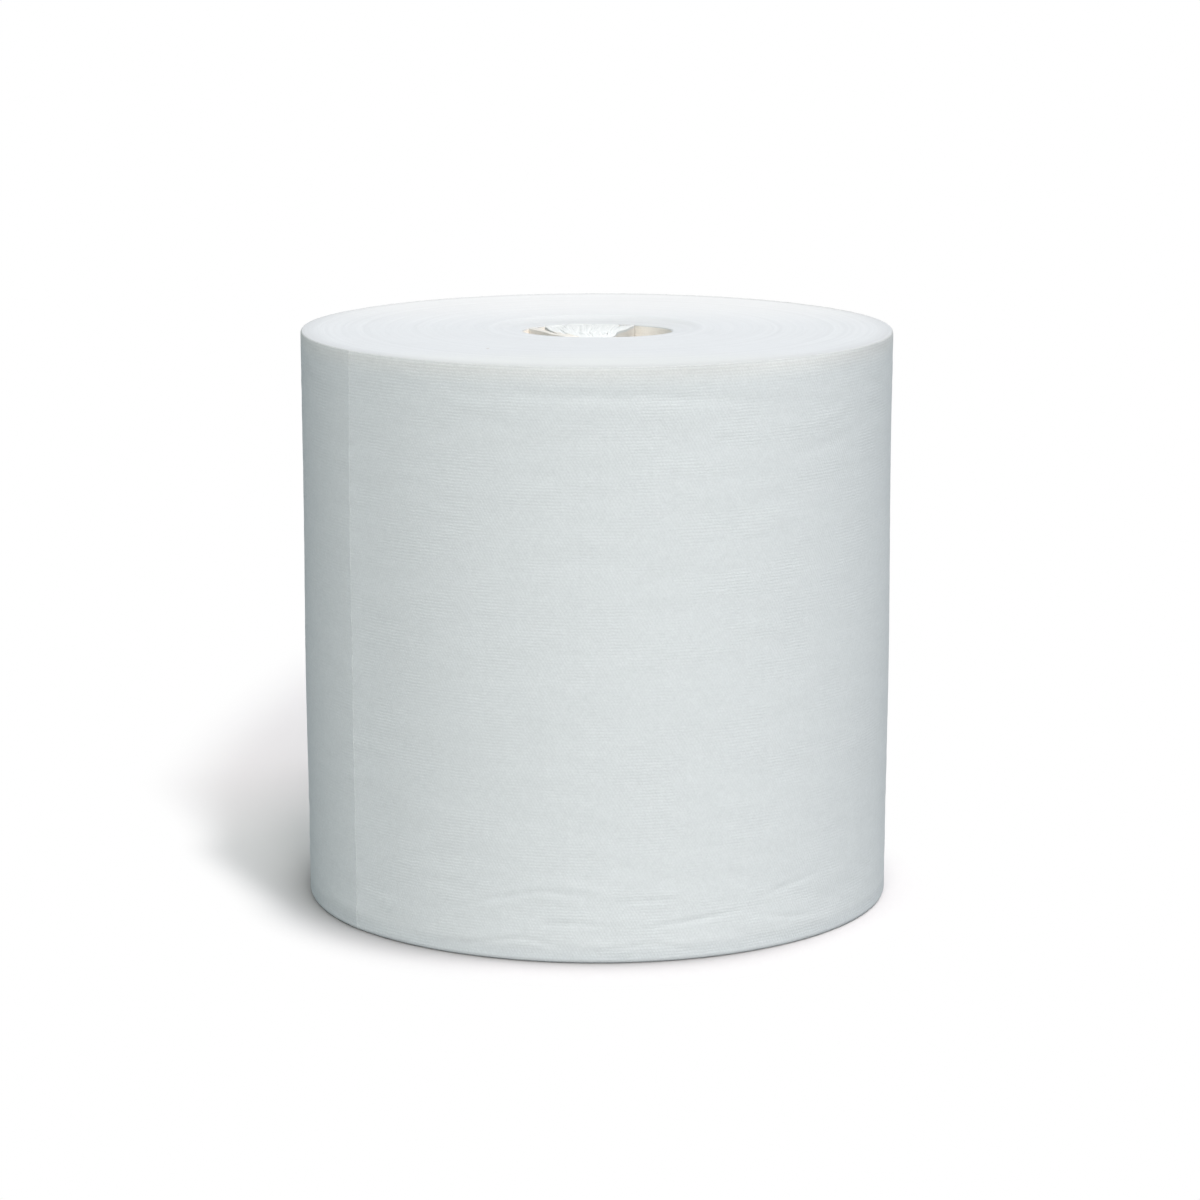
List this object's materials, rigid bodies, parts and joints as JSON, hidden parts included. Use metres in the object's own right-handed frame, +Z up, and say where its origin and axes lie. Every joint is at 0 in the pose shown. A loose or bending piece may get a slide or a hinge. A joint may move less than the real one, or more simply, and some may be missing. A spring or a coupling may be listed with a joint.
{
  "type": "roll of cleaning wipers",
  "caption": "Standing roll of white perforated nonwoven wiper web, wound without a core, with an open eye in which the loose inner end stands gathered for centre pull.",
  "frame": {"origin": "on the surface that the roll stands on, under the middle of the roll", "axes": "+Z up along the axis of the roll; the picture's view looks along +Y with +X to the right"},
  "size_m": [0.3269, 0.3264, 0.3175],
  "materials": {
    "nonwoven_web": "matte"
  },
  "bodies": {
    "root": {"wiper_roll": "nonwoven_web", "inner_end": "nonwoven_web"}
  },
  "joints": []
}
